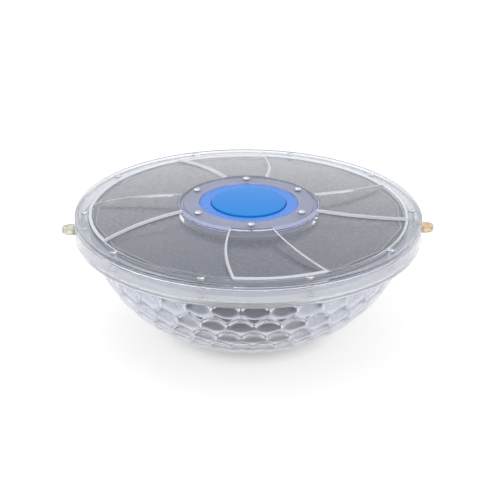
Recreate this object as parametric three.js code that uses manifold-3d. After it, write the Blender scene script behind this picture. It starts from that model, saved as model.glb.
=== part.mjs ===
// A floating pool light: a clear bowl, closed by a clear cover with four swirled petals and a blue
// push button. The bowl is smooth outside and has a honeycomb of convex lens cells inside. A solar
// panel lies under the cover, and a sealed pod with the battery, the electronics and the lamps hangs
// under the hub.
// Millimetres, +Z up, origin at the centre of the flat foot, +X through the right-hand rope eye.

import * as THREE from "three";
import { mergeVertices } from "three/addons/utils/BufferGeometryUtils.js";
import Module from "manifold-3d";

const wasm = await Module();
wasm.setup();

// ---------- Driving dimensions ----------

const FIT_GAP = 0.3; // left between pieces that touch
const BOWL_FACETS = 72; // two to each cell of a row
const COVER_FACETS = 60;
const MEDIUM = 36; // facets round the other large rings
const SMALL = 14; // facets round pins, cells and stems
const TINY = 8; // facets round screws, pegs and their holes

// Bowl
const FOOT_R = 40;
const BOWL_TOP = 84; // where the bowl's curve ends, inside the collar
const BOWL_TOP_R = 127.6;
const BOWL_POWER = 2 / 1.67; // exponent of the bowl's superellipse
const BOWL_WALL = 2.8; // thickness of the wall in the grooves between cells
const CELL_ROWS = 7;
const CELL_PITCH = 15.1; // from one row to the next, along the wall
const FIRST_ROW = 15.5; // from the top of the bowl's curve to the first row, along the wall
const CELL_RISE = 2.6; // how far the middle of a cell stands above the grooves

// Collar and rim
const RIM_R = 140;
const RIM_TOP = 101;
const COLLAR_BOTTOM = 81.2;
const COLLAR_ROUND = 3.6; // rounding of the collar's lower edge
const COLLAR_FLOOR = 86; // top of the trough's floor
const COLLAR_TOP = 96.3;
const RIM_WALL = 2.6;
const SEAL_WALL_R = [125, 128.4]; // inner wall of the trough, under the gasket
const SEAL_WALL_TOP = 93.9;
const SKIRT_BOTTOM = 97.1;
const LIP_THICK = 2.4;
const RIM_BEVEL = 1.8;
const LIP_INNER_R = 128.6;
const PEG_COUNT = 10;
const PEG_CIRCLE_R = 132.2;
const PEG_R = 2.3;
const PEG_HEAD_R = 2.9;
const PEG_HEAD = 1;
const PEG_FOOT = 83.3; // the pegs stand in blind holes in the trough's floor

// Rope eyes
const EYE_CENTRE = 143.9;
const EYE_R = 6.7;
const EYE_HOLE_R = 3.3;
const EYE_ROOT = 134.6; // how far in the eye's tenon reaches
const EYE_BOTTOM = 84.3;
const EYE_TOP = 88.8;
const EYE_SHOULDER = 0.5; // from the eye's faces to the faces of its tenon

// Cover
const HUB_TOP = 110;
const HUB_R = 54.8;
const HUB_WALL = 2.4;
const HUB_PLATE = 2.5;
const HUB_WALL_BOTTOM = 101;
const PANE_R = 128;
const PETAL_R = 127.8;
const PETAL_EDGE_TOP = 101.7;
const PETAL_CROWN = 0.8; // how far the petals bulge above a straight cone
const PETAL_STEP = 2; // petals above the recessed sectors
const COVER_WALL = 2;
const PETALS = 4;
const PETAL_START = [72, 82.8]; // angle of a petal's clockwise edge, at the hub and at PETAL_OUT_R
const PETAL_END = [108, 116.4]; // angle of its anticlockwise edge, at the same two radii
const PETAL_OUT_R = 130;
const SWIRL_POWER = 1.3;
const PETAL_ROOT = 0.6; // how far the petals run into the hub's wall
const PETAL_EDGE_RADII = [72, 90, 110]; // corners of the petals' curved edges
const COVER_RADII = [80, 104]; // corners of the cover's curved face

// Button
const BUTTON_OPENING_R = 39.9;
const BOOT_R = 39.6;
const BOOT_TOP = 109.2;
const BOOT_WEB = 2;
const BOOT_FLANGE_R = 44.2;
const BOOT_FLANGE = [104.9, 107.2];
const BOOT_BEVEL = 0.3;
const BOOT_HOLE_R = 30.4; // round the cap
const BOOT_INNER_R = 37; // inside the flange
const CAP_R = 30;
const CAP_TOP = 111.4;
const CAP_ROOF = 109; // underside of the cap's roof
const CAP_WALL = 1.8;
const CAP_LIP_R = 31.8;
const CAP_LIP = [105.2, 106.9];
const CAP_EDGE = [
  [0, 1.2],
  [0.7, 0.5],
  [2, 0.2],
]; // corners of the cap's rounded edge: how far in from its side, and how far below its top
const CAP_BOSS_WALL = 2.3; // round the stem's socket
const CAP_BOSS_BOTTOM = 104;
const STEM_R = 2.5;
const STEM = [97.9, 108.1];
const GUIDE_R = 44;
const GUIDE_CUP_R = 35;
const GUIDE_WALL = 1.6;
const GUIDE_FLOOR = 98.2;
const GUIDE_FLANGE = [102.9, 104.6];
const SPRING_COIL_R = 8.5;
const SPRING_WIRE_R = 0.55;
const SPRING_TURNS = 4;

// Hub screws
const HUB_SCREWS = 6;
const HUB_SCREW_CIRCLE_R = 47.6;
const HUB_SCREW_HEAD_R = 2.8;
const HUB_SCREW_HEAD = 1.9;
const HUB_SCREW_R = 1.3;
const HUB_SCREW_HOLE_R = 1.7;
const HUB_SCREW_TIP = 98;

// Solar panel and its tray: shallow cones, given by their height at the inner and the outer edge
const PANEL_R = [57, 120];
const PANEL_TOP = [100.3, 97.9];
const PANEL_THICK = 1.1;
const TRAY_R = [56, 121.7];
const TRAY_THICK = 1.6;
const TRAY_RIM = 0.6; // wall round the panel, which carries the bezel
const TRAY_FLANGE_R = 128.3;
const TRAY_FLANGE = [94.2, 95.4];
const BEZEL_R = [120.4, 121.7];
const BEZEL_TOP = 98.3;
const GASKET_R = [125.6, 128.2];
const GASKET = [95.7, 97.4];

// Pod
const POD_R = 52;
const POD_WALL = 2.4;
const POD_TOP = 107.2;
const POD_LEDGE_R = 40;
const POD_LEDGE = [100.6, 102.6];
const POD_FLOOR = [58.9, 60.9];
const POD_BOTTOM = 50;
const BOSS_R = 3.2;
const BOSS_BOTTOM = 96;
const POSTS = 4;
const POST_CIRCLE_R = 36.6;
const POST_R = 2.6;
const BOARD_R = 39.5;
const BOARD = [90.4, 92];
const BOARD_SCREW_HEAD_R = 1.9;
const BOARD_SCREW_HEAD = 1.3;
const BOARD_SCREW_R = 0.8;
const BOARD_SCREW_LENGTH = 8;
const CHIP = [10, 6, 1.7]; // size along X, Y and Z
const CHIP_PLACE = [19, 11]; // middle of the chip
const SWITCH_SIZE = 12;
const SWITCH = [BOARD[1] + FIT_GAP, BOARD[1] + 4];
const SWITCH_WELL_R = 3.8; // well in the switch for its plunger
const SWITCH_WELL_FLOOR = 93.1;
const PLUNGER_R = 3.4;
const PLUNGER_LENGTH = 2.2;
const LENS_DEPTH = 10.4;
const LENS_FLANGE = [47.4, 49.7];
const LENS_WALL = 1.8;
const LENS_UPSTAND_R = [43.8, 46];
const LENS_RINGS = 4; // facets from the middle of the lens to its flange
const SEAL = [50, 52];
const LED_BOARD = [57, 58.6];
const LED_BOARD_R = 46;
const LED_CIRCLE_R = 28;
const LED_SIZE = 5;
const LED_THICK = 1.6;
const LED_COUNT = 6;
const LEAD_R = 0.8;
const LEAD_BEND = 2.2;
const PANEL_LEAD_END_X = 36;
const BATTERY_LEAD_X = 12;
const PANEL_LEAD_Z = 94.2;
const PANEL_LEAD_PLACES = [
  [64, 4],
  [64, -4],
];
const LED_LEAD_PLACES = [
  [-29.5, 3],
  [-29.5, -3],
];

// Battery: three AA cells side by side
const AA_R = 7.25;
const AA_LENGTH = 49.3;
const AA_BUTTON = 1.2; // height of the button end
const AA_BUTTON_R = 2.7;
const AA_PITCH = 15.5;
const HOLDER = [50, 58]; // outer size along X and Y
const HOLDER_WALL = 1.5;
const HOLDER_BASE = [61.2, 62.8];
const HOLDER_END_TOP = 76.3;
const CELL_Z = HOLDER_BASE[1] + FIT_GAP + AA_R; // axes of the cells
const CONTACT_HALF_WIDTH = 22;
const CONTACT_TOP = CELL_Z + 6.45;
const CONTACT_THICK = 0.5;

// ---------- Materials ----------

function material(colour, roughness, metalness = 0, opacity = 1) {
  return new THREE.MeshStandardMaterial({
    color: colour,
    roughness,
    metalness,
    opacity,
    transparent: opacity < 1,
  });
}

const clear = material(0xdfe5ee, 0.08, 0, 0.35);
const paleClear = material(0xe6dfb4, 0.15, 0, 0.6);
const amberClear = material(0xe2a565, 0.15, 0, 0.6);
const darkRubber = material(0x20242e, 0.7);
const whiteRubber = material(0xd8dbe0, 0.6);
const blueSilicone = material(0x6f9fee, 0.35, 0, 0.85);
const blueCap = material(0x3f9be8, 0.25);
const steel = material(0xc8ccd2, 0.25, 1);
const solarDark = material(0x23263a, 0.3);
const trayGrey = material(0x50575c, 0.55);
const bezelGrey = material(0xb8bec6, 0.4);
const whitePlastic = material(0xe4e7ea, 0.5);
const podGrey = material(0x646884, 0.5);
const frosted = material(0xf0f3f6, 0.5, 0, 0.7);
const boardGreen = material(0x1f5a3a, 0.5);
const blackPlastic = material(0x1b1c1f, 0.5);
const cellGreen = material(0x3f8a55, 0.4);
const ledYellow = material(0xe8d27a, 0.35);
const LEAD_FINISHES = [material(0xb3261e, 0.5), material(0x17181a, 0.5)]; // red and black

// ---------- Helpers ----------

const degrees = THREE.MathUtils.degToRad;

function point(r, z) {
  return new THREE.Vector2(r, z);
}

// A solid of revolution about Z. The profile is [r, z] pairs, anticlockwise with r to the right,
// and it closes on itself or starts and ends on the axis.
function turned(profile, facets) {
  const points = profile.map(([r, z]) => point(r, z));
  const onAxis = profile[0][0] === 0 && profile[profile.length - 1][0] === 0;
  if (!onAxis) {
    points.push(points[0].clone());
  }
  return new THREE.LatheGeometry(points, facets).rotateX(Math.PI / 2);
}

function cylinder(r, bottom, top, facets, x = 0, y = 0) {
  const geometry = new THREE.CylinderGeometry(r, r, top - bottom, facets);
  return geometry.rotateX(Math.PI / 2).translate(x, y, (bottom + top) / 2);
}

function box(xs, ys, zs) {
  const geometry = new THREE.BoxGeometry(xs[1] - xs[0], ys[1] - ys[0], zs[1] - zs[0]);
  return geometry.translate((xs[0] + xs[1]) / 2, (ys[0] + ys[1]) / 2, (zs[0] + zs[1]) / 2);
}

// An outline raised from bottom to top, with eight straight pieces for each of its arcs.
function slab(shape, bottom, top) {
  const settings = { depth: top - bottom, bevelEnabled: false, curveSegments: 8 };
  return new THREE.ExtrudeGeometry(shape, settings).translate(0, 0, bottom);
}

function disc(r) {
  return new THREE.Shape().absarc(0, 0, r, 0, 2 * Math.PI);
}

// A six-sided rod along a smooth curve through the points.
function rod(points, r, steps) {
  const route = new THREE.CatmullRomCurve3(points.map((p) => new THREE.Vector3(...p)));
  const settings = { steps, extrudePath: route, curveSegments: 3, bevelEnabled: false };
  return new THREE.ExtrudeGeometry(disc(r), settings);
}

function toSolid(geometry) {
  const bare = geometry.clone();
  bare.deleteAttribute("normal");
  bare.deleteAttribute("uv");
  const merged = mergeVertices(bare, 1e-4);
  const corners = merged.index.array;
  const kept = [];
  for (let i = 0; i < corners.length; i += 3) {
    const [a, b, c] = corners.slice(i, i + 3);
    if (a !== b && b !== c && c !== a) {
      kept.push(a, b, c);
    }
  }
  const vertProperties = merged.attributes.position.array;
  const triVerts = new Uint32Array(kept);
  return new wasm.Manifold(new wasm.Mesh({ numProp: 3, vertProperties, triVerts }));
}

function toGeometry(solid) {
  const mesh = solid.getMesh();
  const geometry = new THREE.BufferGeometry();
  geometry.setAttribute("position", new THREE.BufferAttribute(mesh.vertProperties, 3));
  geometry.setIndex(new THREE.BufferAttribute(mesh.triVerts, 1));
  geometry.computeVertexNormals();
  return geometry;
}

function joined(geometries) {
  return geometries.map(toSolid).reduce((sum, solid) => sum.add(solid));
}

function without(solid, geometries) {
  return geometries.map(toSolid).reduce((rest, cut) => rest.subtract(cut), solid);
}

// The places of count pieces evenly spaced on a circle.
function circle(count, r, startDegrees = 0) {
  return Array.from({ length: count }, (_, i) => {
    const angle = degrees(startDegrees + (360 * i) / count);
    return [r * Math.cos(angle), r * Math.sin(angle)];
  });
}

const PEG_PLACES = circle(PEG_COUNT, PEG_CIRCLE_R);
const HUB_SCREW_PLACES = circle(HUB_SCREWS, HUB_SCREW_CIRCLE_R, 30);
const POST_PLACES = circle(POSTS, POST_CIRCLE_R);

const part = new THREE.Group();
part.name = "floating_pool_light";

function place(parent, name, geometry, finish, position = [0, 0, 0], turn = 0) {
  const mesh = new THREE.Mesh(geometry, finish.clone());
  mesh.name = name;
  mesh.position.set(...position);
  mesh.rotation.z = turn;
  parent.add(mesh);
  return mesh;
}

function subgroup(name) {
  const group = new THREE.Group();
  group.name = name;
  part.add(group);
  return group;
}

// ---------- Bowl ----------

// The bowl's wall through the tops of the cells: t is 0 at the collar and 1 at the foot.
function bowlWall(t) {
  const angle = (t * Math.PI) / 2;
  const across = Math.max(Math.cos(angle), 0) ** BOWL_POWER;
  const down = Math.sin(angle) ** BOWL_POWER;
  return point(FOOT_R + (BOWL_TOP_R - FOOT_R) * across, BOWL_TOP * (1 - down));
}

// The point of the wall at a distance along it from the collar, with its inward direction.
function wallAt(distance) {
  const steps = 400;
  let travelled = 0;
  let here = bowlWall(0);
  for (let i = 1; i <= steps; i += 1) {
    const next = bowlWall(i / steps);
    travelled += next.distanceTo(here);
    if (travelled >= distance) {
      const along = next.clone().sub(here).normalize();
      return { at: next, inward: point(along.y, -along.x) };
    }
    here = next;
  }
  throw new Error("the wall is shorter than " + distance);
}

const ROWS = Array.from({ length: CELL_ROWS }, (_, i) => wallAt(FIRST_ROW + i * CELL_PITCH)).reverse();

// The points of the rows, from the lowest up, moved inwards from the outer face.
function rowsInset(distance) {
  return ROWS.map(({ at, inward }) => [at.x + inward.x * distance, at.y + inward.y * distance]);
}

function bowlOutside() {
  const rounding = [0, 0.5, 1].map((t) => {
    const angle = (t * Math.PI) / 2;
    return [
      RIM_R - COLLAR_ROUND * (1 - Math.sin(angle)),
      COLLAR_BOTTOM + COLLAR_ROUND * (1 - Math.cos(angle)),
    ];
  });
  return turned(
    [
      [0, 0],
      [FOOT_R, 0],
      ...rowsInset(0),
      [BOWL_TOP_R, COLLAR_BOTTOM],
      ...rounding,
      [RIM_R, COLLAR_TOP],
      [RIM_R - RIM_WALL, COLLAR_TOP],
      [RIM_R - RIM_WALL, COLLAR_FLOOR],
      [SEAL_WALL_R[1], COLLAR_FLOOR],
      [SEAL_WALL_R[1], SEAL_WALL_TOP],
      [0, SEAL_WALL_TOP],
    ],
    BOWL_FACETS,
  );
}

// The space inside the bowl. Every other corner of a row is the middle of a cell, and the rest lie in
// the grooves between cells. The rows are offset by one corner, so the grooves run round each cell.
function bowlInside() {
  const grooves = rowsInset(BOWL_WALL);
  const cells = rowsInset(BOWL_WALL + CELL_RISE);
  const profile = [
    [0, BOWL_WALL],
    [FOOT_R, BOWL_WALL],
    ...grooves,
    [SEAL_WALL_R[0], BOWL_TOP],
    [SEAL_WALL_R[0], RIM_TOP],
    [0, RIM_TOP],
  ];
  const geometry = turned(profile, BOWL_FACETS);
  const places = geometry.attributes.position;
  const perColumn = profile.length;
  const firstCellPoint = 2;
  const isCell = (column, i) => i >= 0 && i < CELL_ROWS && (column + i) % 2 === 0;
  for (let column = 0; column <= BOWL_FACETS; column += 1) {
    cells.forEach(([r, height], i) => {
      if (isCell(column, i)) {
        const index = column * perColumn + firstCellPoint + i;
        const scale = r / grooves[i][0];
        places.setXYZ(index, places.getX(index) * scale, places.getY(index) * scale, height);
      }
    });
  }
  // Each four-cornered face between two rows is split along its groove.
  const faces = [];
  for (let column = 0; column < BOWL_FACETS; column += 1) {
    for (let i = 0; i < perColumn - 1; i += 1) {
      const a = column * perColumn + i;
      const b = a + perColumn;
      if (isCell(column, i - firstCellPoint)) {
        faces.push(a, b, a + 1, b + 1, a + 1, b);
      } else {
        faces.push(a, b, b + 1, a, b + 1, a + 1);
      }
    }
  }
  geometry.setIndex(faces);
  return geometry;
}

// The slot in the collar that takes a rope eye's tenon.
function eyeSocket(side) {
  const inner = EYE_ROOT - FIT_GAP;
  const outer = RIM_R + 1;
  const halfWidth = EYE_R - EYE_SHOULDER + FIT_GAP;
  const heights = [EYE_BOTTOM + EYE_SHOULDER - FIT_GAP, EYE_TOP - EYE_SHOULDER + FIT_GAP];
  return box(side > 0 ? [inner, outer] : [-outer, -inner], [-halfWidth, halfWidth], heights);
}

function bowl() {
  const holes = PEG_PLACES.map(([x, y]) =>
    cylinder(PEG_R + FIT_GAP, PEG_FOOT - FIT_GAP, COLLAR_FLOOR + 1, TINY, x, y),
  );
  return toGeometry(
    without(toSolid(bowlOutside()), [bowlInside(), eyeSocket(1), eyeSocket(-1), ...holes]),
  );
}

// ---------- Cover ----------

// Height of the petals' top face at a distance from the axis.
function petalTop(r) {
  const inwards = (PANE_R - r) / (PANE_R - HUB_R);
  const cone = PETAL_EDGE_TOP + (HUB_TOP - PETAL_EDGE_TOP) * inwards;
  return cone + PETAL_CROWN * 4 * inwards * (1 - inwards);
}

function surface(radii, below) {
  return radii.map((r) => [r, petalTop(r) - below]);
}

function coverBase() {
  const outwards = [HUB_R, ...COVER_RADII, PANE_R];
  const inwards = [...outwards].reverse();
  return turned(
    [
      [BUTTON_OPENING_R, HUB_TOP - HUB_PLATE],
      [HUB_R - HUB_WALL, HUB_TOP - HUB_PLATE],
      [HUB_R - HUB_WALL, HUB_WALL_BOTTOM],
      [HUB_R, HUB_WALL_BOTTOM],
      ...surface(outwards, PETAL_STEP + COVER_WALL),
      [LIP_INNER_R + FIT_GAP, RIM_TOP - LIP_THICK],
      [RIM_R - RIM_WALL, RIM_TOP - LIP_THICK],
      [RIM_R - RIM_WALL, SKIRT_BOTTOM],
      [RIM_R, SKIRT_BOTTOM],
      [RIM_R, RIM_TOP - RIM_BEVEL],
      [RIM_R - RIM_BEVEL, RIM_TOP],
      [LIP_INNER_R, RIM_TOP],
      ...surface(inwards, PETAL_STEP),
      [HUB_R, HUB_TOP],
      [BUTTON_OPENING_R, HUB_TOP],
    ],
    COVER_FACETS,
  );
}

// Angle of a petal's edge at a distance from the axis, in radians.
function swirl([atHub, atRim], r) {
  const outwards = Math.max((r - HUB_R) / (PETAL_OUT_R - HUB_R), 0);
  return degrees(atHub + (atRim - atHub) * outwards ** SWIRL_POWER);
}

// The outline of a petal seen from above, drawn in from its edges by an inset.
function petalOutline(inset) {
  const radii = [HUB_R - HUB_WALL, HUB_R, ...PETAL_EDGE_RADII, PETAL_OUT_R];
  const edge = (angles, side) =>
    radii.map((r) => {
      const angle = swirl(angles, r) + (side * inset) / r;
      return point(r * Math.cos(angle), r * Math.sin(angle));
    });
  return new THREE.Shape([...edge(PETAL_START, 1), ...edge(PETAL_END, -1).reverse()]);
}

// The part of a petal's outline that lies between two heights below the petals' top face.
function petalSlice(inset, innerR, outerR, below, above) {
  const radii = [innerR, ...COVER_RADII, outerR];
  const profile = [...surface(radii, below), ...surface([...radii].reverse(), above)];
  const layer = turned(profile, COVER_FACETS);
  return toSolid(slab(petalOutline(inset), COLLAR_TOP, CAP_TOP)).intersect(toSolid(layer));
}

function topCover() {
  const wall = COVER_WALL;
  const under = PETAL_STEP + COVER_WALL + 1;
  let solid = toSolid(coverBase());
  for (let i = 0; i < PETALS; i += 1) {
    const turn = (360 / PETALS) * i;
    const raised = petalSlice(0, HUB_R - PETAL_ROOT, PETAL_R, PETAL_STEP + 1, 0);
    const hollow = petalSlice(wall, HUB_R + wall, PETAL_R - wall, under, wall);
    solid = solid.add(raised.rotate([0, 0, turn])).subtract(hollow.rotate([0, 0, turn]));
  }
  const pegHoles = PEG_PLACES.map(([x, y]) =>
    cylinder(PEG_R + FIT_GAP, RIM_TOP - LIP_THICK - 1, RIM_TOP + 1, TINY, x, y),
  );
  const screwHoles = HUB_SCREW_PLACES.map(([x, y]) =>
    cylinder(HUB_SCREW_HOLE_R, HUB_TOP - HUB_PLATE - 1, HUB_TOP + 1, TINY, x, y),
  );
  return toGeometry(without(solid, [...pegHoles, ...screwHoles]));
}

// ---------- Rim ----------

function rimPeg() {
  const headBottom = RIM_TOP + FIT_GAP;
  return turned(
    [
      [0, PEG_FOOT],
      [PEG_R, PEG_FOOT],
      [PEG_R, headBottom],
      [PEG_HEAD_R, headBottom],
      [PEG_HEAD_R * 0.8, headBottom + PEG_HEAD * 0.7],
      [0, headBottom + PEG_HEAD],
    ],
    TINY,
  );
}

function ring(radii, heights, facets) {
  const [inner, outer] = radii;
  const [bottom, top] = heights;
  return turned(
    [
      [inner, bottom],
      [outer, bottom],
      [outer, top],
      [inner, top],
    ],
    facets,
  );
}

// A flat tab with a rope hole. Its thinner tenon fills the socket in the bowl's collar, so that its
// faces end outside the collar.
function ropeEye() {
  const root = RIM_R + FIT_GAP;
  const outline = new THREE.Shape();
  outline.moveTo(root, -EYE_R);
  outline.lineTo(EYE_CENTRE, -EYE_R);
  outline.absarc(EYE_CENTRE, 0, EYE_R, -Math.PI / 2, Math.PI / 2);
  outline.lineTo(root, EYE_R);
  outline.closePath();
  const hole = new THREE.Path().absarc(EYE_CENTRE, 0, EYE_HOLE_R, 0, 2 * Math.PI, true);
  outline.holes.push(hole);
  const halfWidth = EYE_R - EYE_SHOULDER;
  const tenonHeights = [EYE_BOTTOM + EYE_SHOULDER, EYE_TOP - EYE_SHOULDER];
  const tenon = box([EYE_ROOT, root + FIT_GAP / 2], [-halfWidth, halfWidth], tenonHeights);
  return toGeometry(joined([slab(outline, EYE_BOTTOM, EYE_TOP), tenon]));
}

// ---------- Button ----------

function buttonBoot() {
  const [flangeBottom, flangeTop] = BOOT_FLANGE;
  return turned(
    [
      [BOOT_HOLE_R, BOOT_TOP - BOOT_WEB],
      [BOOT_INNER_R, BOOT_TOP - BOOT_WEB],
      [BOOT_INNER_R, flangeBottom],
      [BOOT_FLANGE_R, flangeBottom],
      [BOOT_FLANGE_R, flangeTop],
      [BOOT_R, flangeTop],
      [BOOT_R, BOOT_TOP - BOOT_BEVEL],
      [BOOT_R - BOOT_BEVEL, BOOT_TOP],
      [BOOT_HOLE_R, BOOT_TOP],
    ],
    MEDIUM,
  );
}

function buttonCap() {
  const socketR = STEM_R + FIT_GAP;
  const bossR = socketR + CAP_BOSS_WALL;
  const innerR = CAP_R - CAP_WALL;
  return turned(
    [
      [0, STEM[1] + FIT_GAP],
      [socketR, STEM[1] + FIT_GAP],
      [socketR, CAP_BOSS_BOTTOM],
      [bossR, CAP_BOSS_BOTTOM],
      [bossR, CAP_ROOF],
      [innerR, CAP_ROOF],
      [innerR, CAP_LIP[0]],
      [CAP_LIP_R, CAP_LIP[0]],
      [CAP_LIP_R, CAP_LIP[1]],
      [CAP_R, CAP_LIP[1]],
      ...CAP_EDGE.map(([inwards, below]) => [CAP_R - inwards, CAP_TOP - below]),
      [0, CAP_TOP],
    ],
    MEDIUM,
  );
}

function buttonGuide() {
  const holeR = STEM_R + FIT_GAP;
  const cupInnerR = GUIDE_CUP_R - GUIDE_WALL;
  return turned(
    [
      [holeR, GUIDE_FLOOR],
      [GUIDE_CUP_R, GUIDE_FLOOR],
      [GUIDE_CUP_R, GUIDE_FLANGE[0]],
      [GUIDE_R, GUIDE_FLANGE[0]],
      [GUIDE_R, GUIDE_FLANGE[1]],
      [cupInnerR, GUIDE_FLANGE[1]],
      [cupInnerR, GUIDE_FLOOR + GUIDE_WALL],
      [holeR, GUIDE_FLOOR + GUIDE_WALL],
    ],
    MEDIUM,
  );
}

function returnSpring() {
  const bottom = GUIDE_FLOOR + GUIDE_WALL + FIT_GAP + SPRING_WIRE_R;
  const top = CAP_ROOF - FIT_GAP - SPRING_WIRE_R;
  const perTurn = 8;
  const count = SPRING_TURNS * perTurn;
  const points = Array.from({ length: count + 1 }, (_, i) => {
    const angle = (2 * Math.PI * i) / perTurn;
    const height = bottom + ((top - bottom) * i) / count;
    return [SPRING_COIL_R * Math.cos(angle), SPRING_COIL_R * Math.sin(angle), height];
  });
  return rod(points, SPRING_WIRE_R, count);
}

// ---------- Screws ----------

// A pan-head screw with its head's underside at z = 0 and its tip at -length.
function panScrew(headR, head, shaftR, length) {
  return turned(
    [
      [0, -length],
      [shaftR, shaftR - length],
      [shaftR, 0],
      [headR, 0],
      [headR, head / 2],
      [headR * 0.75, head * 0.9],
      [0, head],
    ],
    TINY,
  );
}

// ---------- Panel ----------

function coneHeight(radii, heights, r) {
  return THREE.MathUtils.mapLinear(r, radii[0], radii[1], heights[0], heights[1]);
}

function solarPanel() {
  const [inner, outer] = PANEL_R;
  const [innerTop, outerTop] = PANEL_TOP;
  return turned(
    [
      [inner, innerTop - PANEL_THICK],
      [outer, outerTop - PANEL_THICK],
      [outer, outerTop],
      [inner, innerTop],
    ],
    MEDIUM,
  );
}

const TRAY_TOP = TRAY_R.map(
  (r) => coneHeight(PANEL_R, PANEL_TOP, r) - PANEL_THICK - FIT_GAP,
);

function panelTray() {
  const [inner, outer] = TRAY_R;
  const body = turned(
    [
      [inner, TRAY_TOP[0] - TRAY_THICK],
      [outer, TRAY_FLANGE[0]],
      [TRAY_FLANGE_R, TRAY_FLANGE[0]],
      [TRAY_FLANGE_R, TRAY_FLANGE[1]],
      [outer + TRAY_RIM, TRAY_FLANGE[1]],
      [outer, TRAY_TOP[1]],
      [inner, TRAY_TOP[0]],
    ],
    MEDIUM,
  );
  const holes = PANEL_LEAD_PLACES.map(([x, y]) =>
    cylinder(LEAD_R + FIT_GAP, PANEL_LEAD_Z, HUB_TOP, TINY, x, y),
  );
  return toGeometry(without(toSolid(body), holes));
}

// ---------- Pod ----------

function podHousing() {
  const innerR = POD_R - POD_WALL;
  const shell = turned(
    [
      [0, POD_FLOOR[0]],
      [innerR, POD_FLOOR[0]],
      [innerR, POD_BOTTOM],
      [POD_R, POD_BOTTOM],
      [POD_R, POD_TOP],
      [innerR, POD_TOP],
      [innerR, POD_LEDGE[1]],
      [POD_LEDGE_R, POD_LEDGE[1]],
      [POD_LEDGE_R, POD_LEDGE[0]],
      [innerR, POD_LEDGE[0]],
      [innerR, POD_FLOOR[1]],
      [0, POD_FLOOR[1]],
    ],
    MEDIUM,
  );
  const bosses = HUB_SCREW_PLACES.map(([x, y]) => cylinder(BOSS_R, BOSS_BOTTOM, POD_TOP, TINY, x, y));
  const posts = POST_PLACES.map(([x, y]) =>
    cylinder(POST_R, POD_FLOOR[1] - 1, BOARD[0] - FIT_GAP, TINY, x, y),
  );
  const pilots = [
    ...HUB_SCREW_PLACES.map(([x, y]) =>
      cylinder(HUB_SCREW_R + FIT_GAP, HUB_SCREW_TIP - FIT_GAP, POD_TOP + 1, TINY, x, y),
    ),
    ...POST_PLACES.map(([x, y]) =>
      cylinder(BOARD_SCREW_R + FIT_GAP, BOARD[1] - BOARD_SCREW_LENGTH, BOARD[1], TINY, x, y),
    ),
  ];
  const leadHoles = [
    ...PANEL_LEAD_PLACES.map(([, y]) =>
      cylinder(LEAD_R + FIT_GAP, POD_LEDGE_R, TRAY_R[0], TINY)
        .rotateY(Math.PI / 2)
        .translate(0, y, PANEL_LEAD_Z),
    ),
    ...LED_LEAD_PLACES.map(([x, y]) =>
      cylinder(LEAD_R + FIT_GAP, LED_BOARD[1], HOLDER_BASE[1], TINY, x, y),
    ),
  ];
  return toGeometry(without(joined([shell, ...bosses, ...posts]), [...pilots, ...leadHoles]));
}

function podLens() {
  const [flangeBottom, flangeTop] = LENS_FLANGE;
  const [upstandIn, upstandOut] = LENS_UPSTAND_R;
  const dome = (r, depth) =>
    Array.from({ length: LENS_RINGS }, (_, i) => {
      const angle = (Math.PI / 2) * (i / LENS_RINGS);
      return [r * Math.sin(angle), flangeBottom - depth * Math.cos(angle)];
    });
  return turned(
    [
      ...dome(upstandIn + LENS_WALL, LENS_DEPTH),
      [POD_R, flangeBottom],
      [POD_R, flangeTop],
      [upstandOut, flangeTop],
      [upstandOut, LED_BOARD[0] - FIT_GAP],
      [upstandIn, LED_BOARD[0] - FIT_GAP],
      [upstandIn, flangeBottom + LENS_WALL],
      ...dome(upstandIn, LENS_DEPTH - LENS_WALL).reverse(),
    ],
    MEDIUM,
  );
}

function controlBoard() {
  const holes = POST_PLACES.map(([x, y]) =>
    cylinder(BOARD_SCREW_R + FIT_GAP, BOARD[0] - 1, BOARD[1] + 1, TINY, x, y),
  );
  return toGeometry(without(toSolid(cylinder(BOARD_R, ...BOARD, MEDIUM)), holes));
}

function tactSwitch() {
  const sides = [-SWITCH_SIZE / 2, SWITCH_SIZE / 2];
  const well = cylinder(SWITCH_WELL_R, SWITCH_WELL_FLOOR, SWITCH[1] + 1, SMALL);
  return toGeometry(without(toSolid(box(sides, sides, SWITCH)), [well]));
}

// ---------- Battery ----------

function batteryHolder() {
  const [x, y] = HOLDER.map((size) => size / 2);
  const [bottom, base] = HOLDER_BASE;
  const wall = HOLDER_WALL;
  const sideTop = base + AA_R;
  return toGeometry(
    joined([
      box([-x, x], [-y, y], HOLDER_BASE),
      box([-x, wall - x], [-y, y], [bottom, sideTop]),
      box([x - wall, x], [-y, y], [bottom, sideTop]),
      box([-x, x], [-y, wall - y], [bottom, HOLDER_END_TOP]),
      box([-x, x], [y - wall, y], [bottom, HOLDER_END_TOP]),
    ]),
  );
}

// An AA cell lying along Y, with its button end towards +Y.
function aaCell() {
  const half = AA_LENGTH / 2;
  const profile = [
    [0, -half],
    [AA_R, -half],
    [AA_R, half],
    [AA_BUTTON_R, half],
    [AA_BUTTON_R, half + AA_BUTTON],
    [0, half + AA_BUTTON],
  ];
  return turned(profile, SMALL).rotateX(-Math.PI / 2);
}

// ---------- Assembly ----------

const shell = subgroup("shell");
place(shell, "bowl", bowl(), clear);
place(shell, "top_cover", topCover(), clear);
place(shell, "rim_gasket", ring(GASKET_R, GASKET, MEDIUM), darkRubber);
PEG_PLACES.forEach(([x, y], i) => {
  place(shell, "rim_peg_" + String(i + 1).padStart(2, "0"), rimPeg(), clear, [x, y, 0]);
});
place(shell, "rope_eye_right", ropeEye(), amberClear);
place(shell, "rope_eye_left", ropeEye(), paleClear, [0, 0, 0], Math.PI);

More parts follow.
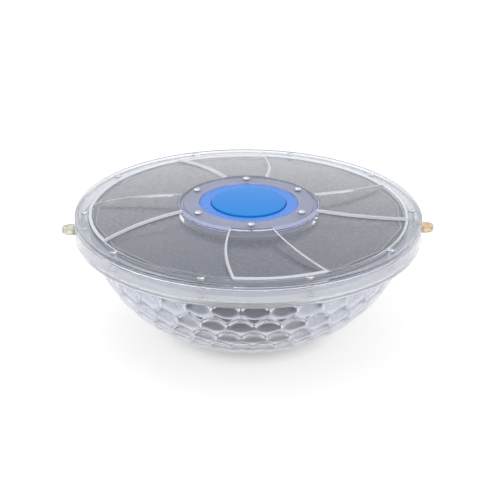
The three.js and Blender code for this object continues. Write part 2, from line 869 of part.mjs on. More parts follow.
const button = subgroup("button");
place(button, "button_boot", buttonBoot(), blueSilicone);
place(button, "button_cap", buttonCap(), blueCap);
place(button, "button_stem", cylinder(STEM_R, ...STEM, SMALL), whitePlastic);
place(button, "return_spring", returnSpring(), steel);
place(button, "button_guide", buttonGuide(), whitePlastic);
HUB_SCREW_PLACES.forEach(([x, y], i) => {
  const head = HUB_TOP + FIT_GAP;
  const length = head - HUB_SCREW_TIP;
  const screw = panScrew(HUB_SCREW_HEAD_R, HUB_SCREW_HEAD, HUB_SCREW_R, length);
  place(button, "hub_screw_" + (i + 1), screw, steel, [x, y, head]);
});

const solar = subgroup("solar");
place(solar, "solar_panel", solarPanel(), solarDark);
const bezelBottom = coneHeight(TRAY_R, TRAY_TOP, BEZEL_R[0]) + FIT_GAP;
place(solar, "panel_bezel", ring(BEZEL_R, [bezelBottom, BEZEL_TOP], MEDIUM), bezelGrey);
place(solar, "panel_tray", panelTray(), trayGrey);

const pod = subgroup("pod");
place(pod, "pod_housing", podHousing(), podGrey);
place(pod, "pod_lens", podLens(), frosted);
const sealR = [LENS_UPSTAND_R[1] + FIT_GAP, POD_R - POD_WALL - FIT_GAP];
place(pod, "lens_seal", ring(sealR, SEAL, MEDIUM), whiteRubber);
place(pod, "led_board", cylinder(LED_BOARD_R, ...LED_BOARD, MEDIUM), boardGreen);
circle(LED_COUNT, LED_CIRCLE_R).forEach(([x, y], i) => {
  const half = LED_SIZE / 2;
  const heights = [LED_BOARD[0] - FIT_GAP - LED_THICK, LED_BOARD[0] - FIT_GAP];
  const led = box([-half, half], [-half, half], heights);
  place(pod, "led_" + (i + 1), led, ledYellow, [x, y, 0], degrees(60 * i));
});

const electronics = subgroup("electronics");
place(electronics, "control_board", controlBoard(), boardGreen);
POST_PLACES.forEach(([x, y], i) => {
  const screw = panScrew(BOARD_SCREW_HEAD_R, BOARD_SCREW_HEAD, BOARD_SCREW_R, BOARD_SCREW_LENGTH);
  place(electronics, "board_screw_" + (i + 1), screw, steel, [x, y, BOARD[1] + FIT_GAP]);
});
const chipZ = BOARD[1] + FIT_GAP + CHIP[2] / 2;
const chip = new THREE.BoxGeometry(...CHIP).translate(...CHIP_PLACE, chipZ);
place(electronics, "control_chip", chip, blackPlastic);
place(electronics, "tact_switch", tactSwitch(), blackPlastic);
const plungerZ = [STEM[0] - FIT_GAP - PLUNGER_LENGTH, STEM[0] - FIT_GAP];
place(electronics, "switch_plunger", cylinder(PLUNGER_R, ...plungerZ, SMALL), whitePlastic);

const battery = subgroup("battery");
place(battery, "battery_holder", batteryHolder(), blackPlastic);
[-1, 0, 1].forEach((column, i) => {
  const turn = i % 2 === 0 ? 0 : Math.PI;
  const at = [column * AA_PITCH, 0, CELL_Z];
  place(battery, "battery_cell_" + (i + 1), aaCell(), cellGreen, at, turn);
});
const contactOutside = HOLDER[1] / 2 - HOLDER_WALL - FIT_GAP;
const contact = box(
  [-CONTACT_HALF_WIDTH, CONTACT_HALF_WIDTH],
  [contactOutside - CONTACT_THICK, contactOutside],
  [HOLDER_BASE[1] + FIT_GAP, CONTACT_TOP],
);
place(battery, "battery_contact_rear", contact, steel);
place(battery, "battery_contact_front", contact.clone(), steel, [0, 0, 0], Math.PI);

const leads = subgroup("leads");
PANEL_LEAD_PLACES.forEach(([x, y], i) => {
  const underPanel = coneHeight(PANEL_R, PANEL_TOP, x + LEAD_R) - PANEL_THICK - FIT_GAP;
  const route = [
    [x, y, underPanel],
    [x, y, PANEL_LEAD_Z + LEAD_BEND],
    [x - LEAD_BEND, y, PANEL_LEAD_Z],
    [TRAY_R[0] - LEAD_BEND, y, PANEL_LEAD_Z],
    [POD_R - 4 * LEAD_BEND, y, PANEL_LEAD_Z],
    [PANEL_LEAD_END_X, 2 * y, BOARD[1] + FIT_GAP + LEAD_R],
  ];
  const name = ["panel_lead_red", "panel_lead_black"][i];
  place(leads, name, rod(route, LEAD_R, 10), LEAD_FINISHES[i]);
});
LED_LEAD_PLACES.forEach(([x, y], i) => {
  const route = [
    [x, y, LED_BOARD[1] + FIT_GAP],
    [x, y, HOLDER_BASE[1]],
    [x - LEAD_R, 1.5 * y, (HOLDER_BASE[1] + BOARD[0]) / 2],
    [x, y, BOARD[0] - FIT_GAP],
  ];
  const name = ["led_lead_red", "led_lead_black"][i];
  place(leads, name, rod(route, LEAD_R, 6), LEAD_FINISHES[i]);
});
[1, -1].forEach((side, i) => {
  const y = side * (contactOutside - CONTACT_THICK / 2);
  const route = [
    [BATTERY_LEAD_X, y, CONTACT_TOP + FIT_GAP],
    [BATTERY_LEAD_X, y + side, (CONTACT_TOP + BOARD[0]) / 2],
    [BATTERY_LEAD_X, y, BOARD[0] - FIT_GAP],
  ];
  const name = ["battery_lead_red", "battery_lead_black"][i];
  place(leads, name, rod(route, LEAD_R, 4), LEAD_FINISHES[i]);
});

export default part;
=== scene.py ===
"""Looks of a floating pool light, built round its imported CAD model.

The fine meshes below are in metres, in the CAD model's frame: +Z up, origin at the centre of the
foot. Sizes are given in millimetres and turned into metres where a mesh is made.
"""

import math

import bmesh
import bpy
import numpy as np
from mathutils import Matrix, Vector


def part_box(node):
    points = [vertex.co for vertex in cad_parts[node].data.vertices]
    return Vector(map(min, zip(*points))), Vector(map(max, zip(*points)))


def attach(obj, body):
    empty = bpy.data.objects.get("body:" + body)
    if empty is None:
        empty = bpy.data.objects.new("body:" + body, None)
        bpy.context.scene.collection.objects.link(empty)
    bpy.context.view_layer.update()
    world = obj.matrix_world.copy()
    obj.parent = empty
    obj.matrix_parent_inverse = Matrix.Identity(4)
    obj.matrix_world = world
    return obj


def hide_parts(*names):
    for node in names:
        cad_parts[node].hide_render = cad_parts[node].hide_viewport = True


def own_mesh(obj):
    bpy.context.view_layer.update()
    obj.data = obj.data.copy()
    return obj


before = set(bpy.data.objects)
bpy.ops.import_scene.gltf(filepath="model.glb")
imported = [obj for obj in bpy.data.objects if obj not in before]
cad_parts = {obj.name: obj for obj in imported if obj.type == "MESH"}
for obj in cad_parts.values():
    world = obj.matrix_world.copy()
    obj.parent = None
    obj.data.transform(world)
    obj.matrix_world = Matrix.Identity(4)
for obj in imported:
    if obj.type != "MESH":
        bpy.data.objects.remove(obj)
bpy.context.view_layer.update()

MM = 0.001
TAU = 2 * math.pi


def low(node):
    """Lowest corner of a CAD node, in millimetres."""
    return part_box(node)[0] / MM


def high(node):
    """Highest corner of a CAD node, in millimetres."""
    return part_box(node)[1] / MM


def heights(node):
    """Lowest and highest level of a CAD node, in millimetres."""
    return low(node).z, high(node).z


# ---------- Sizes, in millimetres ----------

RIM_R = high("bowl").y
COLLAR_TOP = high("bowl").z
SKIRT_BOTTOM = low("top_cover").z
HUB_TOP = high("top_cover").z
RIM_TOP = 101.0

FOOT_R = 40.0
FOOT_INNER_R = FOOT_R - 6
FOOT_HOLLOW = 0.6
BOWL_TOP = 84.0
BOWL_TOP_R = 127.6
BOWL_POWER = 2 / 1.67
BOWL_WALL = 2.8
CELLS_PER_ROW = 36
COLUMNS_PER_CELL = 14
CELL_ROWS = 7
CELL_PITCH = 17.4
FIRST_ROW = 15.5
CELL_RISE = 3.0
CELL_FLATNESS = 2.0
PLAIN_TOP = 4.0
CELL_FADE = 3.0

RIM_WALL = 2.6
COLLAR_BOTTOM = 81.2
COLLAR_ROUND = 3.6
COLLAR_FLOOR = 86.0
TROUGH_HIGHLIGHT_BAND = 1.5
SEAL_WALL_R = (125.0, 128.4)
SEAL_WALL_TOP = low("panel_tray").z - 0.3
PEG_COUNT = 10
PEG_CIRCLE_R = 132.2
PEG_R = 2.3
PEG_HEAD_R = 2.9
PEG_GAP = 0.1
# Share of the head's radius, and height above the rim.
PEG_HEAD = ((0, 0.1), (1, 0.1), (1, 0.5), (0.9, 0.85), (0.6, 1.1), (0, 1.2))
EYE_CENTRE = 143.9
EYE_TIP_R = 6.7
EYE_HOLE_R = 3.3
EYE_FILLET = 0.9
EYE_ROOT_R = RIM_R - 0.4

HUB_R = 54.8
HUB_WALL = 2.4
HUB_PLATE = 2.5
HUB_WALL_BOTTOM = 101.0
PANE_R = 128.0
PETAL_EDGE_TOP = 101.7
PETAL_CROWN = 0.8
PETAL_STEP = 2.0
COVER_WALL = 2.0
LIP_THICK = 2.4
PETALS = 4
PETAL_START = (72.0, 82.8)
PETAL_END = (108.0, 116.4)
PETAL_OUT_R = 130.0
SWIRL_POWER = 1.3
PETAL_COLUMNS = 16
RECESS_COLUMNS = 24
SEAM_HALF = 0.5
SEAM_LIP = 1.1
# A fine line runs along the lip of each petal's edge: its place in the lip, and its share of the step.
LINE_PLACE = 0.65
LINE_SHARE = 0.95
# Soft steps of the cover, as pairs of a place and the share of the rise there. The places are in
# halves of a seam, in millimetres from PANE_R and in millimetres from HUB_R.
SEAM_STEP = ((-1, 0), (-0.82, 0.03), (-0.6, 0.14), (0, 0.5), (0.6, 0.86), (0.82, 0.97), (1, 1))
RIM_STEP = ((0.55, 0.04), (0.4, 0.15), (0.1, 0.5), (-0.2, 0.85), (-0.35, 0.96), (-0.6, 1.0))
HUB_STEP = ((0.75, 1), (0.6, 0.96), (0.45, 0.85), (0.15, 0.5), (-0.15, 0.15), (-0.3, 0.04))

SCREW_COUNT = 6
SCREW_CIRCLE_R = 47.6
SCREW_START = 30
SCREW_HEAD_R = 2.8
SCREW_SHANK_R = 1.3
RECESS_ARM = 0.5
RECESS_REACH = 1.75
RECESS_DEPTH = 1.0
FIRST_SPIN = 20
SPIN_STEP = 37

BUTTON_OPENING_R = 39.9
BOOT_R = 39.6
BOOT_TOP = 109.2
BOOT_BORE_R = 30.35
BOOT_WALL_R = 37.0
BOOT_FLANGE_TOP = 107.2
CAP_R = 30.0
CAP_CROWN_R = 28.3
CAP_CROWN = 0.8
CAP_EDGE_DROP = 0.95
CAP_LIP_R = 31.8
CAP_LIP_TOP = 106.9
CAP_HOLLOW_R = 28.2
CAP_HOLLOW_TOP = 109.0
BOSS_R = 5.2
BOSS_BOTTOM = 104.0
BOSS_BORE_R = 2.9
BOSS_BORE_TOP = 108.4

PANEL_COLUMNS = 180
PANEL_R = (57, 120)
PANEL_EDGE_THICK = 1.1
PANEL_SIDES = 16
PANEL_TURN = 8.5
CORNERS_BEYOND = 100.0
BEZEL_R = (120.4, 121.7)
TRAY_BORE_R = 56
TRAY_CONE_R = 121.7
TRAY_R = 128.3
TRAY_STEP_R = (124.3, 124.9)
TRAY_STEP_TOP = 96.4
TRAY_BORE_THICK = 1.6
TRAY_RIM_THICK = 1.2
GASKET_R = (125.6, 128.2)

WIRE_R = 0.55
SPRING_TURNS = 5.5
SPRING_CLOSED = 0.75
SPRING_EASE = 0.35

LENS_FLANGE = (47.4, 49.7)
LENS_WALL_R = (43.8, 46.0)
LENS_WALL = 1.8
LENS_SEAL_GAP = 0.3

# ---------- Mesh helpers ----------

MERGE_DISTANCE = 1e-6  # in metres
LARGEST_ARC = 0.45  # of the side beside it
SMALLEST_ARC = 0.02
NEARLY_STRAIGHT = math.radians(172)


def make_object(name, vertices, faces, finishes=None):
    """An object from vertices in millimetres and faces, with its seams merged and normals outward.

    finishes holds a material index for each face.
    """
    mesh = bpy.data.meshes.new(name)
    mesh.from_pydata((np.asarray(vertices, float) * MM).tolist(), [], faces)
    if finishes is not None:
        mesh.polygons.foreach_set("material_index", np.asarray(finishes, np.int32).ravel())
    work = bmesh.new()
    work.from_mesh(mesh)
    bmesh.ops.remove_doubles(work, verts=work.verts, dist=MERGE_DISTANCE)
    bmesh.ops.dissolve_degenerate(work, dist=MERGE_DISTANCE / 10, edges=work.edges)
    bmesh.ops.recalc_face_normals(work, faces=work.faces)
    work.to_mesh(mesh)
    work.free()
    mesh.shade_smooth()
    thing = bpy.data.objects.new(name, mesh)
    bpy.context.scene.collection.objects.link(thing)
    return thing


def grid_faces(columns, rows, closed_rows):
    """Quads of a grid whose columns wrap round, and whose rows wrap too if closed_rows."""
    faces = []
    last = rows if closed_rows else rows - 1
    for c in range(columns):
        here, there = c * rows, ((c + 1) % columns) * rows
        for r in range(last):
            up = (r + 1) % rows
            faces.append((here + r, there + r, there + up, here + up))
    return faces


def weighted(thing):
    """Normals weighted by face area, so that flat faces between fine fillets stay flat."""
    modifier = thing.modifiers.new("normals", "WEIGHTED_NORMAL")
    modifier.weight = 90
    return thing


def smooth_step(x):
    x = np.clip(x, 0, 1)
    return x * x * (3 - 2 * x)


def rounded(corners, radius=0.4, segments=3, closed=True):
    """A profile of (r, z) corners, each replaced by a small arc.

    A corner may carry its own radius as a third value.
    """
    points = [Vector(c[:2]) for c in corners]
    radii = [c[2] if len(c) > 2 else radius for c in corners]
    count = len(points)
    result = []
    for i, corner in enumerate(points):
        if not closed and i in (0, count - 1):
            result.append(tuple(corner))
            continue
        before = points[i - 1] - corner
        after = points[(i + 1) % count] - corner
        reach = min(radii[i], before.length * LARGEST_ARC, after.length * LARGEST_ARC)
        if reach < SMALLEST_ARC or before.angle(after) > NEARLY_STRAIGHT:
            result.append(tuple(corner))
            continue
        start = corner + before.normalized() * reach
        end = corner + after.normalized() * reach
        for s in range(segments + 1):
            t = s / segments
            point = start * (1 - t) ** 2 + corner * 2 * t * (1 - t) + end * t**2
            result.append(tuple(point))
    return result


def lathe(name, profile, columns=144, closed=True):
    """A solid of revolution about Z from (r, z) pairs."""
    profile = np.asarray(profile, float)
    angles = np.arange(columns) * TAU / columns
    r, z = profile[:, 0][None, :], profile[:, 1][None, :]
    x = r * np.cos(angles)[:, None]
    y = r * np.sin(angles)[:, None]
    vertices = np.stack([x, y, np.broadcast_to(z, x.shape)], -1).reshape(-1, 3)
    return weighted(make_object(name, vertices, grid_faces(columns, len(profile), closed)))


def turned(name, corners, radius=0.4, columns=144):
    """A ring-shaped lathe solid with rounded corners."""
    return lathe(name, rounded(corners, radius), columns)


def on_circle(count, r, start=0.0):
    """The places of count pieces on a circle."""
    angles = [math.radians(start) + TAU * i / count for i in range(count)]
    return [(r * math.cos(a), r * math.sin(a)) for a in angles]


def finished(thing, material, body, slot, *nodes):
    """Gives a piece its materials and its body, and hides the CAD nodes that it replaces. Its record
    slot is not used.
    """
    for each in material if isinstance(material, tuple) else (material,):
        thing.data.materials.append(each)
    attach(thing, body)
    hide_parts(*nodes)
    return thing


# ---------- Materials ----------


def new_material(name):
    material = bpy.data.materials.new(name)
    material.use_nodes = True
    nodes = material.node_tree.nodes
    return material, nodes, material.node_tree.links, nodes["Principled BSDF"]


def texture_place(nodes):
    """The object's own coordinates, so that a pattern keeps its size on every piece."""
    return nodes.new("ShaderNodeTexCoord").outputs["Object"]


def noise(nodes, links, scale, detail):
    """A noise texture, with scale in cycles per metre."""
    texture = nodes.new("ShaderNodeTexNoise")
    texture.inputs["Scale"].default_value = scale
    texture.inputs["Detail"].default_value = detail
    links.new(texture_place(nodes), texture.inputs["Vector"])
    return texture.outputs["Fac"]


def spread(nodes, links, value, lowest, highest):
    """A noise value, which lies mostly between 0.3 and 0.7, mapped to a range."""
    node = nodes.new("ShaderNodeMapRange")
    node.inputs["From Min"].default_value = 0.3
    node.inputs["From Max"].default_value = 0.7
    node.inputs["To Min"].default_value = lowest
    node.inputs["To Max"].default_value = highest
    links.new(value, node.inputs["Value"])
    return node.outputs["Result"]


def blend_colour(nodes, links, share, first, second):
    node = nodes.new("ShaderNodeMix")
    node.data_type = "RGBA"
    for socket, colour in (("A", first), ("B", second)):
        matching = [i for i in node.inputs if i.name == socket and i.type == "RGBA"]
        matching[0].default_value = (*colour, 1)
    links.new(share, node.inputs["Factor"])
    return [o for o in node.outputs if o.type == "RGBA"][0]


def bump(nodes, links, shader, height, strength, distance):
    node = nodes.new("ShaderNodeBump")
    node.inputs["Strength"].default_value = strength
    node.inputs["Distance"].default_value = distance
    links.new(height, node.inputs["Height"])
    links.new(node.outputs["Normal"], shader.inputs["Normal"])


def clear_plastic(name, first, second, roughness=(0.02, 0.05), ripple=0.003, through=1.0):
    """Transparent moulded plastic with flow ripples. It is hazy where less light goes through."""
    material, nodes, links, shader = new_material(name)
    shader.inputs["Transmission Weight"].default_value = through
    shader.inputs["IOR"].default_value = 1.5
    broad = noise(nodes, links, scale=22, detail=2)
    fine = noise(nodes, links, scale=160, detail=3)
    links.new(blend_colour(nodes, links, broad, first, second), shader.inputs["Base Color"])
    links.new(spread(nodes, links, fine, *roughness), shader.inputs["Roughness"])
    bump(nodes, links, shader, broad, ripple, 0.002)
    return material


def solid_plastic(name, first, second, roughness=(0.3, 0.45), grain=900, depth=0.06, metal=0.0):
    """Opaque plastic, rubber or metal with a fine grain, depth as strong, and uneven gloss."""
    material, nodes, links, shader = new_material(name)
    shader.inputs["Metallic"].default_value = metal
    broad = noise(nodes, links, scale=35, detail=4)
    fine = noise(nodes, links, scale=grain, detail=2)
    links.new(blend_colour(nodes, links, broad, first, second), shader.inputs["Base Color"])
    links.new(spread(nodes, links, broad, *roughness), shader.inputs["Roughness"])
    bump(nodes, links, shader, fine, depth, 0.0004)
    return material


def translucent_blue(name, first, second, through, roughness, specular):
    """Blue silicone or plastic that lets some light through."""
    material, nodes, links, shader = new_material(name)
    shader.inputs["Subsurface Weight"].default_value = through
    shader.inputs["Subsurface Radius"].default_value = (0.002, 0.004, 0.008)
    shader.inputs["Subsurface Scale"].default_value = 1.0
    shader.inputs["Specular IOR Level"].default_value = specular
    broad = noise(nodes, links, scale=30, detail=3)
    fine = noise(nodes, links, scale=500, detail=2)
    links.new(blend_colour(nodes, links, broad, first, second), shader.inputs["Base Color"])
    links.new(spread(nodes, links, fine, *roughness), shader.inputs["Roughness"])
    bump(nodes, links, shader, broad, 0.01, 0.001)
    return material


COVER_CLEAR = clear_plastic("cover_clear", (0.94, 0.95, 0.98), (0.96, 0.965, 0.985), (0.01, 0.03))
# Pale faces on the cover's steps: a painted highlight along each seam and along the rim step.
EDGE_PAINTED_HIGHLIGHT = clear_plastic(
    "edge_frost_painted_highlight", (0.80, 0.83, 0.90), (0.85, 0.88, 0.93), (0.3, 0.4), through=0.3
)
# Violet haze on the hub's walls and steps: painted violet light, standing in for the light seen
# through the clear hub.
HUB_HAZE_PAINTED_LIGHT = clear_plastic(
    "hub_haze_painted_light", (0.63, 0.68, 0.94), (0.67, 0.71, 0.96), (0.3, 0.4), through=0.4
)
# White, fully opaque floor of the collar's trough: a painted highlight that brightens the collar's
# band.
TROUGH_PAINTED_HIGHLIGHT = clear_plastic(
    "trough_painted_highlight", (0.94, 0.97, 1.0), (0.96, 0.98, 1.0), (0.3, 0.4), through=0.0
)
# Dim violet haze on the seal wall: painted shade of the dark inside under the tray, as seen through
# the wall.
WALL_PAINTED_SHADE = clear_plastic(
    "wall_painted_shade", (0.50, 0.54, 0.76), (0.54, 0.58, 0.80), (0.3, 0.4), through=0.2
)
PEG_CLEAR = clear_plastic("peg_clear", (0.88, 0.90, 0.94), (0.91, 0.92, 0.96), (0.05, 0.1))
BOWL_CLEAR = clear_plastic("bowl_clear", (0.79, 0.81, 0.87), (0.81, 0.825, 0.88))
RIM_CLEAR = clear_plastic("rim_clear", (0.91, 0.925, 0.96), (0.93, 0.94, 0.97))
COLLAR_CLEAR = clear_plastic(
    "collar_clear", (0.94, 0.955, 0.985), (0.955, 0.965, 0.99), (0.05, 0.1), through=0.78
)
PALE_CLEAR = clear_plastic(
    "pale_clear", (0.82, 0.81, 0.70), (0.86, 0.85, 0.74), (0.12, 0.2), through=0.7
)
AMBER_CLEAR = clear_plastic(
    "amber_clear", (0.88, 0.64, 0.38), (0.92, 0.74, 0.50), (0.12, 0.2), through=0.7
)
GASKET_RUBBER = solid_plastic("gasket_rubber", (0.22, 0.24, 0.36), (0.26, 0.28, 0.40), (0.4, 0.6))
WHITE_RUBBER = solid_plastic("white_rubber", (0.6, 0.62, 0.66), (0.68, 0.7, 0.73), (0.45, 0.6))
BOOT_BLUE = translucent_blue(
    "boot_blue", (0.06, 0.22, 0.70), (0.07, 0.235, 0.72), 0.12, (0.25, 0.35), 0.3
)
CAP_BLUE = translucent_blue(
    "cap_blue", (0.0, 0.20, 0.64), (0.001, 0.22, 0.68), 0.1, (0.08, 0.12), 0.18
)
STEEL = solid_plastic(
    "steel", (0.62, 0.64, 0.67), (0.72, 0.73, 0.75), (0.12, 0.25), grain=1500, depth=0.05, metal=1.0
)
TRAY = solid_plastic("tray_plastic", (0.13, 0.16, 0.19), (0.15, 0.18, 0.21), (0.4, 0.55))
BEZEL = solid_plastic("bezel_plastic", (0.42, 0.45, 0.5), (0.5, 0.53, 0.58), (0.3, 0.45))
# Dark violet pod: its colour is painted shade and painted violet light of the bowl's inside.
POD_PAINTED_SHADE = solid_plastic("pod_plastic", (0.15, 0.16, 0.26), (0.18, 0.19, 0.30), (0.35, 0.5))
WHITE_PLASTIC = solid_plastic("white_plastic", (0.62, 0.64, 0.68), (0.7, 0.72, 0.75))
FROSTED = clear_plastic(
    "frosted", (0.82, 0.84, 0.88), (0.88, 0.9, 0.93), (0.4, 0.5), ripple=0.2
)
BOARD_GREEN = solid_plastic("board_green", (0.01, 0.08, 0.035), (0.015, 0.11, 0.05), (0.35, 0.5))
BLACK_PLASTIC = solid_plastic("black_plastic", (0.01, 0.01, 0.012), (0.018, 0.018, 0.02))
CELL_WRAP = solid_plastic("cell_wrap", (0.04, 0.24, 0.09), (0.06, 0.28, 0.12), (0.2, 0.3))
LED_PHOSPHOR = solid_plastic("led_phosphor", (0.75, 0.6, 0.15), (0.85, 0.72, 0.25), (0.3, 0.4))
RED_LEAD = solid_plastic("red_lead", (0.42, 0.02, 0.015), (0.5, 0.03, 0.02), (0.35, 0.5))
BLACK_LEAD = solid_plastic("black_lead", (0.008, 0.008, 0.009), (0.014, 0.014, 0.015), (0.35, 0.5))


def solar_film():
    """Dark indigo film with a coat and a broad, faint change of hue."""
    material, nodes, links, shader = new_material("solar_film")
    shader.inputs["Coat Weight"].default_value = 0.6
    shader.inputs["Coat Roughness"].default_value = 0.04
    shader.inputs["IOR"].default_value = 1.5
    broad = noise(nodes, links, scale=9, detail=2)
    fine = noise(nodes, links, scale=420, detail=2)
    hue = blend_colour(nodes, links, broad, (0.042, 0.078, 0.140), (0.066, 0.068, 0.150))
    links.new(hue, shader.inputs["Base Color"])
    links.new(spread(nodes, links, fine, 0.26, 0.28), shader.inputs["Roughness"])
    return material


SOLAR_FILM = solar_film()

# ---------- Bowl ----------


def bowl_wall(t):
    """(r, z) of the bowl's outer face, with t from 0 at the collar to 1 at the foot."""
    angle = t * math.pi / 2
    across = max(math.cos(angle), 0.0) ** BOWL_POWER
    down = math.sin(angle) ** BOWL_POWER
    return FOOT_R + (BOWL_TOP_R - FOOT_R) * across, BOWL_TOP * (1 - down)


def wall_points(step):
    """Points evenly spaced along the wall: arrays of distance, r, z and inward normal."""
    fine = np.array([bowl_wall(t) for t in np.linspace(0, 1, 2001)])
    lengths = np.concatenate([[0], np.cumsum(np.hypot(*np.diff(fine, axis=0).T))])
    count = int(lengths[-1] / step) + 1
    s = np.linspace(0, lengths[-1], count)
    r = np.interp(s, lengths, fine[:, 0])
    z = np.interp(s, lengths, fine[:, 1])
    along = np.stack([np.gradient(r, s), np.gradient(z, s)], -1)
    along /= np.linalg.norm(along, axis=1)[:, None]
    inward = np.stack([along[:, 1], -along[:, 0]], -1)
    return s, r, z, inward


def cell_rise(angle, s):
    """How far the wall's inner face stands above the grooves, at a distance s along the wall."""
    row_height = math.sqrt(3) / 2
    u = angle * CELLS_PER_ROW / TAU
    v = (s - FIRST_ROW) / CELL_PITCH
    nearest = np.full(np.broadcast(u, v).shape, np.inf)
    for step in (-1, 0, 1, 2):
        row = np.floor(v) + step
        across = u - np.where(np.mod(row, 2) == 0, 0.0, 0.5)
        across = across - np.round(across)
        nearest = np.minimum(nearest, across**2 + ((v - row) * row_height) ** 2)
    corner = 1 / 3  # a cell's corner is 1/sqrt(3) of the pitch from its middle
    last = FIRST_ROW + (CELL_ROWS - 1) * CELL_PITCH * row_height + CELL_PITCH / math.sqrt(3)
    plain_top = smooth_step((s - PLAIN_TOP) / CELL_FADE)
    plain_foot = smooth_step((last - s) / CELL_FADE)
    dome = 1 - np.minimum(nearest / corner, 1.0) ** CELL_FLATNESS
    return CELL_RISE * dome * plain_top * plain_foot


def collar_profile():
    """Outline of the collar: outer wall, trough and the seal wall's inner face, from outside in."""
    return rounded(
        [
            (BOWL_TOP_R - 0.4, COLLAR_BOTTOM - 1.2),
            (BOWL_TOP_R - 0.1, COLLAR_BOTTOM, 0.9),
            (RIM_R, COLLAR_BOTTOM, COLLAR_ROUND),
            (RIM_R, COLLAR_TOP, 0.5),
            (RIM_R - RIM_WALL, COLLAR_TOP, 0.5),
            (RIM_R - RIM_WALL, COLLAR_FLOOR, 1.2),
            (SEAL_WALL_R[1], COLLAR_FLOOR, 1.2),
            (SEAL_WALL_R[1], SEAL_WALL_TOP, 0.4),
            (SEAL_WALL_R[0], SEAL_WALL_TOP, 0.4),
            (SEAL_WALL_R[0], BOWL_TOP + 1.5),
        ],
        segments=4,
        closed=False,
    )


def bowl():
    """The clear shell: foot, smooth outside, collar with its trough, and lens cells inside."""
    columns = CELLS_PER_ROW * COLUMNS_PER_CELL
    angles = np.arange(columns) * TAU / columns
    _, outer_r, outer_z, _ = wall_points(3.0)
    s, r, z, inward = wall_points(1.1)
    size = r[None, :] / BOWL_TOP_R
    depth = BOWL_WALL + cell_rise(angles[:, None], s[None, :]) * size
    inner_r = r[None, :] + inward[None, :, 0] * depth
    inner_z = z[None, :] + inward[None, :, 1] * depth

    foot = [
        (0, FOOT_HOLLOW),
        (FOOT_INNER_R, FOOT_HOLLOW),
        (FOOT_INNER_R + 1, 0.1),
        (FOOT_INNER_R + 3, 0.0),
    ]
    wall = [(a, b) for a, b in zip(outer_r[::-1], outer_z[::-1]) if b < COLLAR_BOTTOM - 1.5]
    bottom = [(FOOT_INNER_R, BOWL_WALL + 0.1), (0, BOWL_WALL + 0.1)]

    def ring(points):
        points = np.asarray(points, float)
        shape = (columns, len(points))
        return np.broadcast_to(points[:, 0], shape), np.broadcast_to(points[:, 1], shape)

    inside = (inner_r, np.maximum(inner_z, BOWL_WALL))
    pieces = [ring(foot), ring(wall), ring(collar_profile()), inside, ring(bottom)]
    all_r = np.concatenate([p[0] for p in pieces], 1)
    all_z = np.concatenate([p[1] for p in pieces], 1)
    x = all_r * np.cos(angles)[:, None]
    y = all_r * np.sin(angles)[:, None]
    vertices = np.stack([x, y, all_z], -1).reshape(-1, 3)
    faces = grid_faces(columns, all_r.shape[1], False)
    middle_r = (all_r[:, 1:] + all_r[:, :-1]) / 2
    middle_z = (all_z[:, 1:] + all_z[:, :-1]) / 2
    in_trough = (middle_r > SEAL_WALL_R[1] - 0.1) & (middle_r < RIM_R - RIM_WALL + 0.1)
    # Faces of the trough floor take the painted highlight.
    on_highlit_floor = in_trough & (abs(middle_z - COLLAR_FLOOR) < TROUGH_HIGHLIGHT_BAND)
    # Faces of the seal wall take the painted shade.
    on_shaded_wall = (abs(middle_r - SEAL_WALL_R[1]) < 0.3) & (middle_z > COLLAR_FLOOR + TROUGH_HIGHLIGHT_BAND)
    on_collar = (middle_r > SEAL_WALL_R[0]) & (middle_z > COLLAR_BOTTOM - 1)
    plain, floor, shaded_seal_wall, collar_face = range(4)
    rest = np.where(on_collar, collar_face, plain)
    finishes = np.where(on_highlit_floor, floor, np.where(on_shaded_wall, shaded_seal_wall, rest))
    thing = weighted(make_object("bowl_shell", vertices, faces, finishes=finishes))
    materials = (BOWL_CLEAR, TROUGH_PAINTED_HIGHLIGHT, WALL_PAINTED_SHADE, COLLAR_CLEAR)
    return finished(thing, materials, "root", "clear_plastic", "bowl")


# ---------- Cover ----------


def petal_top(r):
    """Height of the petals' top face at a distance from the axis."""
    inwards = (PANE_R - r) / (PANE_R - HUB_R)
    cone = PETAL_EDGE_TOP + (HUB_TOP - PETAL_EDGE_TOP) * inwards
    return cone + PETAL_CROWN * 4 * inwards * (1 - inwards)


def swirl(edge, r):
    """Angle of a petal's edge at a distance from the axis, in radians."""
    outwards = np.clip((r - HUB_R) / (PETAL_OUT_R - HUB_R), 0, 1)
    return np.radians(edge[0] + (edge[1] - edge[0]) * outwards**SWIRL_POWER)


def cover_columns(radii):
    """Columns of the cover's mesh: angle at each radius, share of the petals' step, and on an edge."""
    columns = []
    for petal in range(PETALS):
        turn = math.radians(360 / PETALS * petal)
        start, end = swirl(PETAL_START, radii) + turn, swirl(PETAL_END, radii) + turn
        next_start = swirl(PETAL_START, radii) + turn + math.radians(360 / PETALS)
        offset, lip = SEAM_HALF / radii, (SEAM_HALF + SEAM_LIP) / radii
        columns += [(start + a * offset, w, True) for a, w in SEAM_STEP]
        columns.append((start + lip * LINE_PLACE, LINE_SHARE, True))
        columns += between(start + lip, end - lip, PETAL_COLUMNS, 1.0)
        columns.append((end - lip * LINE_PLACE, LINE_SHARE, True))
        columns += [(end - a * offset, w, True) for a, w in SEAM_STEP[::-1]]
        columns += between(end + offset, next_start - offset, RECESS_COLUMNS, 0.0)[1:-1]
    return columns


def between(first, last, count, share):
    """Plain columns from one edge to another, all with the same share of the step."""
    return [(first + (last - first) * i / count, share, False) for i in range(count + 1)]


